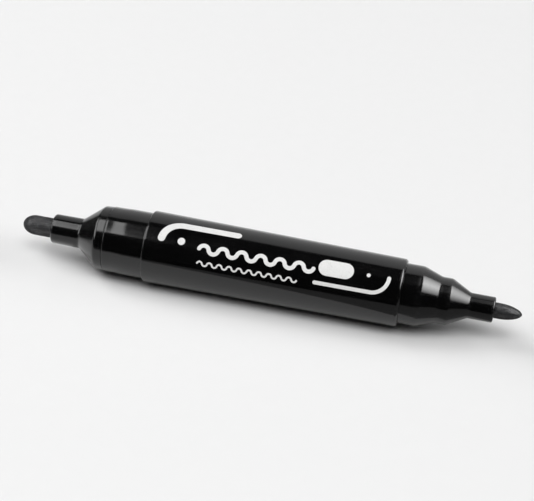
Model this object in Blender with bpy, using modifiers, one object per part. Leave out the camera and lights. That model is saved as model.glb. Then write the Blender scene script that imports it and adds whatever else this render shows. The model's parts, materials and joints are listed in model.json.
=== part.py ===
"""A double-ended marker with a bold and a fine felt nib, both caps taken off and laid in line with it.

The marker lies along X with its bold end at -X and its barrel on Z = 0. Sizes are in millimetres, and
diameters of turned pieces are measured across the flats of their sides.
"""

import math

import bpy

MILLIMETRE = 0.001
SIDES = 32
SHARP_ANGLE = math.radians(30.0)
AXIS_MERGE = 0.00001

# Barrel: the printed grip tapers towards the fine end, and a neck carries the bold cap
BARREL_LENGTH = 60.3
BARREL_DIAMETER = 17.0
BARREL_TAPER = 1.2
BARREL_WALL = 1.17
BARREL_BOLD_EDGE = 0.2
BARREL_FINE_EDGE_LENGTH = 0.5
BARREL_FINE_EDGE_DEPTH = 0.4
NECK_LENGTH = 9.8
NECK_STEP = 0.65
NECK_LAND_LENGTH = 5.1
NECK_RAMP_LENGTH = 2.7
NECK_RAMP_HEIGHT = 0.13

# Nibs: how far each one stands out of its nozzle, and the length of its rounded point
BOLD_NIB_DIAMETER = 4.7
BOLD_NIB_REACH = 7.6
BOLD_POINT_LENGTH = 3.2
BOLD_POINT_SHARPNESS = 0.5
FINE_NIB_DIAMETER = 3.64
FINE_NIB_REACH = 6.33
FINE_POINT_LENGTH = 5.2
FINE_POINT_SHARPNESS = 0.56
POINT_STEPS = 9
NIB_TAIL_DEPTH = 6.0
NIB_TAIL_EDGE = 0.3

# Nib holders: plugs in the ends of the barrel
HOLDER_WALL = 1.1
NOZZLE_WALL = 0.95
NOZZLE_EDGE = 0.3
BOLD_NOZZLE_LENGTH = 7.05
BOLD_NOZZLE_DRAFT = 0.06
BOLD_CONE_LENGTH = 4.85
FLANGE_LENGTH = 2.0
FLANGE_DRAFT = 0.12
FLANGE_STEP = 0.05
BOLD_PLUG_LENGTH = 7.0
FINE_NOZZLE_LENGTH = 5.77
FINE_LOWER_CONE_LENGTH = 4.55
COLLAR_LENGTH = 2.4
COLLAR_STEP = 2.42
FINE_UPPER_CONE_LENGTH = 4.4
FINE_NECK_LENGTH = 4.0
FINE_NECK_STEP = 0.9
FINE_PLUG_LENGTH = 8.0

# Ink store
FILM_THICKNESS = 0.25

# Caps, with a liner in each that closes round the nozzle
CAP_WALL = 1.1
CAP_DRAFT = 0.4
CAP_END_WALL = 1.3
CAP_END_ROUND = 1.0
CAP_ROUND_STEPS = 4
CAP_LIP_EDGE = 0.15
CAP_SHOULDER_ROOM = 0.5
CAP_TIP_ROOM = 1.5
LINER_WALL = 0.9
LINER_BASE = 1.0
LINER_STAND_OFF = 2.4
BOLD_CAP_PARKING = 24.0
FINE_CAP_PARKING = 19.1

# Clearances between pieces that stay together, and of the caps on the necks and nozzles
FIT_GAP = 0.2
CAP_GAP = 0.15

# Radii that several pieces share
BARREL_BOLD_RADIUS = BARREL_DIAMETER / 2
BARREL_FINE_RADIUS = BARREL_BOLD_RADIUS - BARREL_TAPER / 2
NECK_RADIUS = BARREL_BOLD_RADIUS - NECK_STEP
NECK_LEAD_RADIUS = NECK_RADIUS - NECK_RAMP_HEIGHT
BORE_RADIUS = NECK_LEAD_RADIUS - BARREL_WALL
PLUG_RADIUS = BORE_RADIUS - FIT_GAP
PLUG_BORE_RADIUS = PLUG_RADIUS - HOLDER_WALL
FLANGE_RADIUS = NECK_LEAD_RADIUS - FLANGE_STEP
BOLD_CONE_RADIUS = FLANGE_RADIUS - FLANGE_DRAFT
BOLD_NIB_BORE = BOLD_NIB_DIAMETER / 2 + FIT_GAP
BOLD_NOZZLE_RADIUS = BOLD_NIB_BORE + NOZZLE_WALL
FINE_NIB_BORE = FINE_NIB_DIAMETER / 2 + FIT_GAP
FINE_NOZZLE_RADIUS = FINE_NIB_BORE + NOZZLE_WALL
COLLAR_RADIUS = FINE_NOZZLE_RADIUS + COLLAR_STEP
FINE_NECK_RADIUS = BARREL_FINE_RADIUS - FINE_NECK_STEP
FILM_RADIUS = BORE_RADIUS - FIT_GAP
FILM_BORE_RADIUS = FILM_RADIUS - FILM_THICKNESS
RESERVOIR_RADIUS = FILM_BORE_RADIUS - FIT_GAP

# Stations along the axis, from the barrel's bold edge and positive towards the fine end
BOLD_SEAT = -NECK_LENGTH
BOLD_CONE_BASE = BOLD_SEAT - FLANGE_LENGTH
BOLD_CONE_TOP = BOLD_CONE_BASE - BOLD_CONE_LENGTH
BOLD_MOUTH = BOLD_CONE_TOP - BOLD_NOZZLE_LENGTH
BOLD_TIP = BOLD_MOUTH - BOLD_NIB_REACH
FINE_SEAT = BARREL_LENGTH
FINE_UPPER_CONE = FINE_SEAT + FINE_NECK_LENGTH
COLLAR_START = FINE_UPPER_CONE + FINE_UPPER_CONE_LENGTH
COLLAR_END = COLLAR_START + COLLAR_LENGTH
FINE_CONE_TOP = COLLAR_END + FINE_LOWER_CONE_LENGTH
FINE_MOUTH = FINE_CONE_TOP + FINE_NOZZLE_LENGTH
FINE_TIP = FINE_MOUTH + FINE_NIB_REACH
BOLD_PLUG_END = BOLD_SEAT + BOLD_PLUG_LENGTH
FINE_PLUG_END = FINE_SEAT - FINE_PLUG_LENGTH
RESERVOIR_BOLD_END = BOLD_PLUG_END + FIT_GAP
RESERVOIR_FINE_END = FINE_PLUG_END - FIT_GAP

# Depths inside each cap, from its mouth, and where the cap lies when it is off
BOLD_CAP_DEPTH = -BOLD_TIP + CAP_TIP_ROOM + LINER_BASE
FINE_CAP_DEPTH = FINE_TIP - FINE_SEAT + CAP_TIP_ROOM + LINER_BASE
BOLD_CAP_PARKED = BOLD_TIP - BOLD_CAP_PARKING
FINE_CAP_PARKED = FINE_TIP + FINE_CAP_PARKING
BOLD_CAP_END = BOLD_CAP_PARKED - BOLD_CAP_DEPTH - CAP_END_WALL
FINE_CAP_END = FINE_CAP_PARKED + FINE_CAP_DEPTH + CAP_END_WALL
MIDDLE = (BOLD_CAP_END + FINE_CAP_END) / 2

# The end of the marker that a piece points to
TOWARDS_FINE = 1
TOWARDS_BOLD = -1

# Finishes: a colour and a roughness
GLOSS_BLACK = ((0.012, 0.012, 0.013), 0.18)
INKED_FELT = ((0.030, 0.030, 0.031), 0.9)
INKED_FIBRE = ((0.020, 0.020, 0.022), 0.95)
PALE_FILM = ((0.75, 0.77, 0.78), 0.25)
SOFT_WHITE = ((0.78, 0.78, 0.76), 0.45)


def clear_scene():
    """Remove every object that the scene starts with."""
    for obj in list(bpy.data.objects):
        bpy.data.objects.remove(obj, do_unlink=True)


def new_collection(name):
    """Make a collection in the scene and return it."""
    collection = bpy.data.collections.new(name)
    bpy.context.scene.collection.children.link(collection)
    return collection


def new_material(name, colour, roughness):
    """Return a Principled material of one colour; nothing on the marker is metal."""
    material = bpy.data.materials.new(name)
    material.use_nodes = True
    shader = material.node_tree.nodes["Principled BSDF"]
    shader.inputs["Base Color"].default_value = (*colour, 1.0)
    shader.inputs["Roughness"].default_value = roughness
    shader.inputs["Metallic"].default_value = 0.0
    return material


def new_axis(name, station, collection):
    """Return an empty on the marker's axis whose Z runs along it, towards the fine end."""
    axis = bpy.data.objects.new(name, None)
    axis.location = ((station - MIDDLE) * MILLIMETRE, 0.0, BARREL_BOLD_RADIUS * MILLIMETRE)
    axis.rotation_euler = (0.0, math.pi / 2, 0.0)
    axis.empty_display_size = BARREL_BOLD_RADIUS * MILLIMETRE
    collection.objects.link(axis)
    return axis


def runs_down_outside(outline):
    """Say whether a loop of (station, radius) points runs from top to bottom along its outer side."""
    area = 0.0
    for (station, radius), (next_station, next_radius) in zip(outline, outline[1:] + outline[:1]):
        area += radius * next_station - next_radius * station
    return area < 0.0


def turned(name, outline, material, axis, collection):
    """Turn a loop of (station, radius) points round an axis and return the solid as a named object.

    A loop that starts and ends at radius zero is a piece with no bore, and stays open there.
    """
    if not runs_down_outside(outline):
        outline = outline[::-1]
    corner = MILLIMETRE / math.cos(math.pi / SIDES)
    points = [(radius * corner, 0.0, station * MILLIMETRE) for station, radius in outline]
    edges = [(index, index + 1) for index in range(len(points) - 1)]
    if outline[0][1] > 0.0:
        edges.append((len(points) - 1, 0))
    profile = bpy.data.meshes.new(name + "_profile")
    profile.from_pydata(points, edges, [])
    piece = bpy.data.objects.new(name, profile)
    collection.objects.link(piece)

    screw = piece.modifiers.new("turn", "SCREW")
    screw.axis = "Z"
    screw.angle = 2 * math.pi
    screw.steps = SIDES
    screw.render_steps = SIDES
    screw.use_merge_vertices = True
    screw.merge_threshold = AXIS_MERGE
    graph = bpy.context.evaluated_depsgraph_get()
    mesh = bpy.data.meshes.new_from_object(piece.evaluated_get(graph))
    mesh.name = name
    mesh.shade_smooth()
    mesh.set_sharp_from_angle(angle=SHARP_ANGLE)
    mesh.materials.append(material)

    piece.modifiers.clear()
    piece.data = mesh
    bpy.data.meshes.remove(profile)
    piece.parent = axis
    piece.rotation_euler = (0.0, 0.0, math.pi / SIDES)
    return piece


def barrel_outline():
    """The grip and the bold-side neck, with a straight bore from end to end."""
    return [
        (FINE_SEAT, BARREL_FINE_RADIUS - BARREL_FINE_EDGE_DEPTH),
        (FINE_SEAT - BARREL_FINE_EDGE_LENGTH, BARREL_FINE_RADIUS),
        (BARREL_BOLD_EDGE, BARREL_BOLD_RADIUS),
        (0.0, BARREL_BOLD_RADIUS - BARREL_BOLD_EDGE),
        (0.0, NECK_RADIUS),
        (-NECK_LAND_LENGTH, NECK_RADIUS),
        (-NECK_LAND_LENGTH - NECK_RAMP_LENGTH, NECK_LEAD_RADIUS),
        (BOLD_SEAT, NECK_LEAD_RADIUS),
        (BOLD_SEAT, BORE_RADIUS),
        (FINE_SEAT, BORE_RADIUS),
    ]


def bold_holder_outline():
    """A plug in the neck, a flange against its end, and a cone up to the nozzle."""
    flange_back = BOLD_SEAT - FIT_GAP
    return [
        (BOLD_PLUG_END, PLUG_BORE_RADIUS),
        (BOLD_PLUG_END, PLUG_RADIUS),
        (flange_back, PLUG_RADIUS),
        (flange_back, FLANGE_RADIUS),
        (BOLD_CONE_BASE, BOLD_CONE_RADIUS),
        (BOLD_CONE_TOP, BOLD_NOZZLE_RADIUS + BOLD_NOZZLE_DRAFT),
        (BOLD_MOUTH + NOZZLE_EDGE, BOLD_NOZZLE_RADIUS),
        (BOLD_MOUTH, BOLD_NOZZLE_RADIUS - NOZZLE_EDGE),
        (BOLD_MOUTH, BOLD_NIB_BORE),
        (BOLD_CONE_TOP, BOLD_NIB_BORE),
        (BOLD_CONE_BASE, PLUG_BORE_RADIUS),
    ]


def fine_holder_outline():
    """A plug in the barrel, a neck against its end, and two cones with a collar between them."""
    neck_back = FINE_SEAT + FIT_GAP
    return [
        (FINE_PLUG_END, PLUG_BORE_RADIUS),
        (FINE_PLUG_END, PLUG_RADIUS),
        (neck_back, PLUG_RADIUS),
        (neck_back, FINE_NECK_RADIUS),
        (FINE_UPPER_CONE, FINE_NECK_RADIUS),
        (COLLAR_START, COLLAR_RADIUS),
        (COLLAR_END, COLLAR_RADIUS),
        (FINE_CONE_TOP, FINE_NOZZLE_RADIUS),
        (FINE_MOUTH - NOZZLE_EDGE, FINE_NOZZLE_RADIUS),
        (FINE_MOUTH, FINE_NOZZLE_RADIUS - NOZZLE_EDGE),
        (FINE_MOUTH, FINE_NIB_BORE),
        (FINE_CONE_TOP, FINE_NIB_BORE),
        (COLLAR_END, COLLAR_RADIUS - HOLDER_WALL),
        (COLLAR_START, COLLAR_RADIUS - HOLDER_WALL),
        (FINE_UPPER_CONE, PLUG_BORE_RADIUS),
        (FINE_SEAT, PLUG_BORE_RADIUS),
    ]


def nib_outline(diameter, tip, tail, point_length, sharpness, way):
    """A felt rod with a domed point at its tip; way says to which end of the marker it points."""
    radius = diameter / 2
    outline = [(tip, 0.0)]
    for step in range(1, POINT_STEPS + 1):
        share = math.sin(step / POINT_STEPS * math.pi / 2)
        along = math.cos(step / POINT_STEPS * math.pi / 2)
        station = tip - way * point_length * (1.0 - along)
        outline.append((station, radius * share ** (2 * sharpness)))
    outline.append((tail + way * NIB_TAIL_EDGE, radius))
    outline.append((tail, radius - NIB_TAIL_EDGE))
    outline.append((tail, 0.0))
    return outline


def reservoir_outline():
    """A fibre core with a blind socket at each end for the tail of a nib."""
    bold_socket = RESERVOIR_BOLD_END + NIB_TAIL_DEPTH + FIT_GAP
    fine_socket = RESERVOIR_FINE_END - NIB_TAIL_DEPTH - FIT_GAP
    return [
        (fine_socket, 0.0),
        (fine_socket, FINE_NIB_BORE),
        (RESERVOIR_FINE_END, FINE_NIB_BORE),
        (RESERVOIR_FINE_END, RESERVOIR_RADIUS),
        (RESERVOIR_BOLD_END, RESERVOIR_RADIUS),
        (RESERVOIR_BOLD_END, BOLD_NIB_BORE),
        (bold_socket, BOLD_NIB_BORE),
        (bold_socket, 0.0),
    ]


def film_outline():
    """A thin tube round the fibre core, as long as the core."""
    return [
        (RESERVOIR_FINE_END, FILM_BORE_RADIUS),
        (RESERVOIR_FINE_END, FILM_RADIUS),
        (RESERVOIR_BOLD_END, FILM_RADIUS),
        (RESERVOIR_BOLD_END, FILM_BORE_RADIUS),
    ]


def cap_bore_radius(mouth_radius):
    """Radius of a cap's bore past its lip."""
    return mouth_radius - CAP_DRAFT - CAP_WALL


def cap_outline(mouth_radius, lip_radius, lip_depth, cone_slope, depth, way):
    """A cup that is thin at its lip and has a flat closed end; its stations start at the mouth.

    The bore narrows behind the lip alongside the nib holder's cone, whose slope it takes.
    """
    bore = cap_bore_radius(mouth_radius)
    narrow_depth = lip_depth + (lip_radius - bore) / cone_slope
    length = depth + CAP_END_WALL
    end_radius = mouth_radius - CAP_DRAFT
    outline = [
        (depth, 0.0),
        (depth, bore),
        (narrow_depth, bore),
        (lip_depth, lip_radius),
        (CAP_LIP_EDGE, lip_radius),
        (0.0, lip_radius + CAP_LIP_EDGE),
        (0.0, mouth_radius),
    ]
    for step in range(CAP_ROUND_STEPS + 1):
        turn = step / CAP_ROUND_STEPS * math.pi / 2
        station = length - CAP_END_ROUND * (1.0 - math.sin(turn))
        outline.append((station, end_radius - CAP_END_ROUND * (1.0 - math.cos(turn))))
    outline.append((length, 0.0))
    return [(way * station, radius) for station, radius in outline]


def liner_outline(nozzle_radius, base_radius, lip_depth, depth, way):
    """A cup on a round base: the base sits at the bottom of the cap, and the lip closes round the nozzle."""
    inner = nozzle_radius + CAP_GAP
    outer = inner + LINER_WALL
    back = depth - FIT_GAP
    floor = back - LINER_BASE
    outline = [
        (back, 0.0),
        (back, base_radius),
        (floor, base_radius),
        (floor, outer),
        (lip_depth, outer),
        (lip_depth, inner),
        (floor, inner),
        (floor, 0.0),
    ]
    return [(way * station, radius) for station, radius in outline]


def build_pieces(pieces, axis, collection):
    """Turn each (name, outline, finish) on the axis, with a material of its own."""
    for name, outline, (colour, roughness) in pieces:
        turned(name, outline, new_material(name, colour, roughness), axis, collection)


def build_marker(collection):
    """Make the barrel, both nib holders, both nibs and the ink store."""
    bold_tail = RESERVOIR_BOLD_END + NIB_TAIL_DEPTH
    fine_tail = RESERVOIR_FINE_END - NIB_TAIL_DEPTH
    bold_nib = nib_outline(
        BOLD_NIB_DIAMETER, BOLD_TIP, bold_tail, BOLD_POINT_LENGTH, BOLD_POINT_SHARPNESS, TOWARDS_BOLD
    )
    fine_nib = nib_outline(
        FINE_NIB_DIAMETER, FINE_TIP, fine_tail, FINE_POINT_LENGTH, FINE_POINT_SHARPNESS, TOWARDS_FINE
    )
    pieces = [
        ("barrel", barrel_outline(), GLOSS_BLACK),
        ("bold_nib_holder", bold_holder_outline(), GLOSS_BLACK),
        ("fine_nib_holder", fine_holder_outline(), GLOSS_BLACK),
        ("bold_nib", bold_nib, INKED_FELT),
        ("fine_nib", fine_nib, INKED_FELT),
        ("ink_reservoir", reservoir_outline(), INKED_FIBRE),
        ("reservoir_film", film_outline(), PALE_FILM),
    ]
    build_pieces(pieces, new_axis("marker_axis", 0.0, collection), collection)


def build_bold_cap(collection):
    """Make the bold cap and its liner on the axis that they slide along."""
    nozzle_radius = BOLD_NOZZLE_RADIUS + BOLD_NOZZLE_DRAFT
    cone_slope = (BOLD_CONE_RADIUS - nozzle_radius) / BOLD_CONE_LENGTH
    lip_radius = NECK_RADIUS + CAP_GAP
    lip_depth = -BOLD_CONE_BASE + CAP_SHOULDER_ROOM
    liner_radius = cap_bore_radius(BARREL_BOLD_RADIUS) - FIT_GAP
    liner_lip = -BOLD_CONE_TOP + LINER_STAND_OFF
    cap = cap_outline(BARREL_BOLD_RADIUS, lip_radius, lip_depth, cone_slope, BOLD_CAP_DEPTH, TOWARDS_BOLD)
    liner = liner_outline(nozzle_radius, liner_radius, liner_lip, BOLD_CAP_DEPTH, TOWARDS_BOLD)
    pieces = [("bold_cap", cap, GLOSS_BLACK), ("bold_cap_inner_seal", liner, SOFT_WHITE)]
    build_pieces(pieces, new_axis("bold_cap_slide", BOLD_CAP_PARKED, collection), collection)


def build_fine_cap(collection):
    """Make the fine cap and its liner on the axis that they slide along."""
    cone_slope = (FINE_NECK_RADIUS - COLLAR_RADIUS) / FINE_UPPER_CONE_LENGTH
    lip_radius = FINE_NECK_RADIUS + CAP_GAP
    lip_depth = FINE_NECK_LENGTH + CAP_SHOULDER_ROOM
    liner_radius = cap_bore_radius(BARREL_FINE_RADIUS) - FIT_GAP
    liner_lip = FINE_CONE_TOP - FINE_SEAT + LINER_STAND_OFF
    cap = cap_outline(BARREL_FINE_RADIUS, lip_radius, lip_depth, cone_slope, FINE_CAP_DEPTH, TOWARDS_FINE)
    liner = liner_outline(FINE_NOZZLE_RADIUS, liner_radius, liner_lip, FINE_CAP_DEPTH, TOWARDS_FINE)
    pieces = [("fine_cap", cap, GLOSS_BLACK), ("fine_cap_inner_seal", liner, SOFT_WHITE)]
    build_pieces(pieces, new_axis("fine_cap_slide", FINE_CAP_PARKED, collection), collection)


def main():
    """Build the marker and its two caps in one collection."""
    clear_scene()
    collection = new_collection("double_ended_marker")
    build_marker(collection)
    build_bold_cap(collection)
    build_fine_cap(collection)


main()
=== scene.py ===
"""Looks of a double-ended marker: gloss black mouldings, inked felt nibs, white print and two caps laid off.

Sizes are in millimetres. Stations run along the marker's axis from the bold edge of its grip, positive
towards the fine nib; a cap's depths run from its mouth towards its closed end.
"""

import json
import logging
import math
from collections.abc import Sequence
from dataclasses import dataclass
from enum import Enum

import bmesh
import bpy
from bmesh.types import BMEdge, BMesh, BMLayerItem, BMVert
from bpy.types import ID, Material, Mesh, Node, NodeSocket, NodeTree, Object
from mathutils import Matrix, Vector, noise

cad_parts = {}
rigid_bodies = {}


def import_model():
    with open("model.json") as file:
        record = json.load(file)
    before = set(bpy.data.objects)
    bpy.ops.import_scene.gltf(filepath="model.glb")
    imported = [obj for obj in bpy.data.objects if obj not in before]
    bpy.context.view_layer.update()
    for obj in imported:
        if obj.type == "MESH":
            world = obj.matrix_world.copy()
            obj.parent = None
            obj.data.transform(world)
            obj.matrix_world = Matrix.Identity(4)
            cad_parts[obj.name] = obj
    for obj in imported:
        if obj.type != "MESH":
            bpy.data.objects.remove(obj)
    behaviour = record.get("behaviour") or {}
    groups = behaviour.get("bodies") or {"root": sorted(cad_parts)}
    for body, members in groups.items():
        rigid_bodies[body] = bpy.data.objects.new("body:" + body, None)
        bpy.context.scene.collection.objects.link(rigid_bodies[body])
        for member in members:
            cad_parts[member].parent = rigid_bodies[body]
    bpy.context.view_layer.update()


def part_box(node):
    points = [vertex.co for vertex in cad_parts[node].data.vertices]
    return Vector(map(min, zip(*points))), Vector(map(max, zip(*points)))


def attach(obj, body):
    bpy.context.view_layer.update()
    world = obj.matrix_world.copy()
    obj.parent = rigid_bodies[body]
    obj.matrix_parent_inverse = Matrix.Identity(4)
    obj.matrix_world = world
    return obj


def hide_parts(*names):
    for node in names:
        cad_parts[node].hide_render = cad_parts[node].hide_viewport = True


LOG = logging.getLogger("marker")
MM = 0.001
EDGE_MASK = "edge"
SHARP_ANGLE = math.radians(38.0)
WORN_ANGLE = math.radians(60.0)
MERGE = 0.0002 * MM
MIX_FIRST, MIX_SECOND, MIX_RESULT = 6, 7, 2
ALONG = (1, 0, 0)
FORWARD = (0, -1, 0)
UP = (0, 0, 1)
DOWN = (0, 0, -1)

Pair = tuple[float, float]
Triple = tuple[float, float, float]
Colour = Triple


def mesh_data(name: str, mesh: BMesh) -> Mesh:
    """Turn a finished mesh into data of a name and free it.

    Args:
        name: Name of the data.
        mesh: The mesh.

    Returns:
        The data.
    """
    data = bpy.data.meshes.new(name)
    mesh.to_mesh(data)
    mesh.free()
    return data


class Body(Enum):
    """A CAD body that pieces ride on."""

    MARKER = "marker"
    BOLD_CAP = "bold_cap"
    FINE_CAP = "fine_cap"


class Slot(Enum):
    """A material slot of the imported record."""

    BARREL = "barrel_plastic"
    HOLDER = "holder_plastic"
    CAP = "cap_plastic"
    NIB = "nib_felt"
    RESERVOIR = "reservoir_fibre"
    FILM = "film_plastic"
    SEAL = "seal_plastic"
    PRINT = "white_print"


class Way(Enum):
    """The end of the marker that a piece points to, as the sign of its direction along X."""

    BOLD = -1
    FINE = 1


@dataclass(frozen=True)
class Corner:
    """A corner of an outline that is turned about the axis.

    Attributes:
        station: Place along the axis.
        radius: Distance from the axis.
        rounding: Length that the rounding takes from each side; 0 leaves the corner sharp.
    """

    station: float
    radius: float
    rounding: float = 0.0


@dataclass(frozen=True)
class Lathe:
    """Turns outlines about the marker's axis.

    Attributes:
        zero: Place along X of the grip's bold edge.
        height: Height of the axis above the floor.
        steps: Facets in a full turn.
        segments: Facets in a rounded corner.
        guard: Distance of the rings that hold a rounding in, as a multiple of the rounding.
    """

    zero: float
    height: float
    steps: int = 176
    segments: int = 5
    guard: float = 2.2

    def turn(self, name: str, outline: Sequence[Corner]) -> Object:
        """Round an outline's corners and turn it into a closed piece.

        Args:
            name: Name of the new piece.
            outline: Corners in order; an outline that starts and ends on the axis has no bore.

        Returns:
            The piece, with the rounded edges marked in its edge mask.
        """
        mesh = bmesh.new()
        mask = mesh.verts.layers.float.new(EDGE_MASK)
        corners = [mesh.verts.new((c.station * MM, 0.0, c.radius * MM)) for c in outline]
        for start, end in zip(corners, corners[1:]):
            mesh.edges.new((start, end))
        if outline[0].radius > 0.0:
            mesh.edges.new((corners[-1], corners[0]))
        for corner, vert in zip(outline, corners):
            if corner.rounding > 0.0:
                self._guard(vert, corner.rounding * self.guard * MM)
        for corner, vert in zip(outline, corners):
            if corner.rounding > 0.0:
                self._round(mesh, mask, vert, corner.rounding * MM)
        bmesh.ops.spin(
            mesh, geom=mesh.verts[:] + mesh.edges[:], cent=(0, 0, 0), axis=(1, 0, 0), dvec=(0, 0, 0),
            angle=math.tau, steps=self.steps, use_merge=True, use_normal_flip=False, use_duplicate=False,
        )
        return self.piece(name, mesh)

    def piece(self, name: str, mesh: BMesh) -> Object:
        """Close a mesh that was made round the origin, carry it to the axis and link it as a piece.

        Args:
            name: Name of the new piece.
            mesh: The mesh, with X as its stations; it is freed.

        Returns:
            The piece, smooth except along its sharp edges.
        """
        bmesh.ops.remove_doubles(mesh, verts=mesh.verts[:], dist=MERGE)
        bmesh.ops.recalc_face_normals(mesh, faces=mesh.faces[:])
        bmesh.ops.translate(mesh, verts=mesh.verts[:], vec=(self.zero * MM, 0.0, self.height * MM))
        data = mesh_data(name, mesh)
        data.shade_smooth()
        data.set_sharp_from_angle(angle=SHARP_ANGLE)
        piece = bpy.data.objects.new(name, data)
        bpy.context.scene.collection.objects.link(piece)
        return piece

    @staticmethod
    def _guard(vert: BMVert, distance: float) -> None:
        """Split the edges at a corner where they are long enough, so that its rounding stays local.

        Args:
            vert: The corner.
            distance: Distance of the new points from it, in metres.
        """
        for edge in vert.link_edges[:]:
            length = edge.calc_length()
            if length > 2.0 * distance:
                bmesh.utils.edge_split(edge, vert, distance / length)

    def _round(self, mesh: BMesh, mask: BMLayerItem, vert: BMVert, offset: float) -> None:
        """Round one corner of an outline and mark the new points in the edge mask, most where it turns most.

        Args:
            mesh: The outline.
            mask: Its edge mask.
            vert: The corner.
            offset: Length that the rounding takes from each side, in metres.
        """
        sharp = min(1.0, vert.calc_edge_angle() / WORN_ANGLE)
        made = bmesh.ops.bevel(
            mesh, geom=[vert], offset=offset, offset_type="OFFSET", segments=self.segments,
            profile=0.5, affect="VERTICES", material=-1, clamp_overlap=True,
        )
        for point in made["verts"]:
            point[mask] = sharp


class Graph:
    """A node tree that is being wired."""

    def __init__(self, tree: NodeTree) -> None:
        """Keep the tree that the nodes go into."""
        self.tree = tree

    def add(self, kind: str, **values: object) -> Node:
        """Add a node.

        Args:
            kind: Type of the node, without its ShaderNode prefix.
            values: Node settings in lower case, and input values by socket name with _ for a space.

        Returns:
            The node.
        """
        node = self.tree.nodes.new("ShaderNode" + kind)
        for key, value in values.items():
            if key[0].islower():
                setattr(node, key, value)
            else:
                node.inputs[key.replace("_", " ")].default_value = value
        return node

    def link(self, source: NodeSocket, target: NodeSocket) -> None:
        """Join an output to an input."""
        self.tree.links.new(source, target)

    def place(self) -> NodeSocket:
        """Return the Object coordinates."""
        return self.add("TexCoord").outputs["Object"]

    def math(self, operation: str, first: NodeSocket, second: NodeSocket | float) -> NodeSocket:
        """Combine two values.

        Args:
            operation: Name of the Math node's operation.
            first: A value that changes over the surface.
            second: Another such value, or a number.

        Returns:
            The result.
        """
        node = self.add("Math", operation=operation)
        self.link(first, node.inputs[0])
        if isinstance(second, NodeSocket):
            self.link(second, node.inputs[1])
        else:
            node.inputs[1].default_value = second
        return node.outputs[0]

    def mix(self, share: NodeSocket, first: NodeSocket | Colour, second: NodeSocket | Colour) -> NodeSocket:
        """Mix two colours.

        Args:
            share: Part of the second colour, from 0 to 1.
            first: Colour where share is 0.
            second: Colour where share is 1.

        Returns:
            The mixed colour.
        """
        node = self.add("Mix", data_type="RGBA")
        self.link(share, node.inputs[0])
        for index, colour in ((MIX_FIRST, first), (MIX_SECOND, second)):
            if isinstance(colour, NodeSocket):
                self.link(colour, node.inputs[index])
            else:
                node.inputs[index].default_value = (*colour, 1.0)
        return node.outputs[MIX_RESULT]

    def ramp(self, value: NodeSocket, low: float, high: float) -> NodeSocket:
        """Turn a value into a mask.

        Args:
            value: The value.
            low: Value at which the mask starts.
            high: Value at which it is full.

        Returns:
            The mask, which rises smoothly from 0 to 1.
        """
        node = self.add("MapRange", interpolation_type="SMOOTHSTEP", From_Min=low, From_Max=high)
        self.link(value, node.inputs["Value"])
        return node.outputs[0]


@dataclass(frozen=True)
class Pattern:
    """A noise on Object coordinates, and the range of it that makes a mask.

    Attributes:
        stretch: Features per metre along X, Y and Z.
        detail: Octaves of the noise.
        low: Noise at which the mask starts.
        high: Noise at which it is full.
        crispness: Weight of each octave against the one before.
    """

    stretch: Triple
    detail: float
    low: float = 0.0
    high: float = 1.0
    crispness: float = 0.55

    def noise(self, graph: Graph, place: NodeSocket) -> NodeSocket:
        """Add the noise to a graph.

        Args:
            graph: The graph.
            place: The coordinates.

        Returns:
            The noise, around 0.5.
        """
        mapping = graph.add("Mapping", Scale=self.stretch)
        texture = graph.add("TexNoise", Scale=1.0, Detail=self.detail, Roughness=self.crispness)
        graph.link(place, mapping.inputs["Vector"])
        graph.link(mapping.outputs[0], texture.inputs["Vector"])
        return texture.outputs["Fac"]

    def mask(self, graph: Graph, place: NodeSocket) -> NodeSocket:
        """Add the noise to a graph and return its mask."""
        return graph.ramp(self.noise(graph, place), self.low, self.high)


# Patterns of a polished moulding, and how much each one fades, dulls and shapes it
HAZE = Pattern((70.0, 140.0, 140.0), 3.0, 0.32, 0.68)
SCUFF = Pattern((160.0, 3200.0, 3200.0), 1.0, 0.64, 0.74)
RUB = Pattern((900.0, 1500.0, 1500.0), 3.0, 0.42, 0.66)
PEEL = Pattern((420.0, 640.0, 640.0), 1.0)
GRAIN = Pattern((7000.0, 7000.0, 7000.0), 1.0)
HAZE_FADE = 0.02
SCUFF_FADE = 0.14
WEAR_ROUGHNESS = 0.2
GRAIN_HEIGHT = 0.06
SCUFF_HEIGHT = -0.12

# Patterns of bonded fibres, and the range of them that catches the light
STRAND = Pattern((700.0, 5200.0, 5200.0), 3.0)
FLECK = Pattern((5200.0, 5200.0, 5200.0), 2.0)
CLUMP = Pattern((480.0, 650.0, 650.0), 2.0, 0.36, 0.64)
LIT_FIBRES = (0.40, 0.66)
TUFT_HEIGHT = 0.5

# Patterns of printing ink and of paper
INK_SPECK = Pattern((5200.0, 5200.0, 5200.0), 2.0, 0.48, 0.70)
INK_CLOUD = Pattern((600.0, 900.0, 900.0), 2.0, 0.25, 0.75)
PAPER_MOTTLE = Pattern((260.0, 260.0, 260.0), 4.0)


class SurfaceGroup(Enum):
    """A surface effect that several finishes use."""

    MOULDED = "moulded_surface"
    FIBRE = "fibre_surface"

    def tree(self) -> NodeTree:
        """Return the effect's node group, and build it the first time.

        Returns:
            The group.
        """
        made = bpy.data.node_groups.get(self.value)
        if made is None:
            made = bpy.data.node_groups.new(self.value, "ShaderNodeTree")
            {SurfaceGroup.MOULDED: wire_moulded, SurfaceGroup.FIBRE: wire_fibre}[self](made)
        return made


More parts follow.
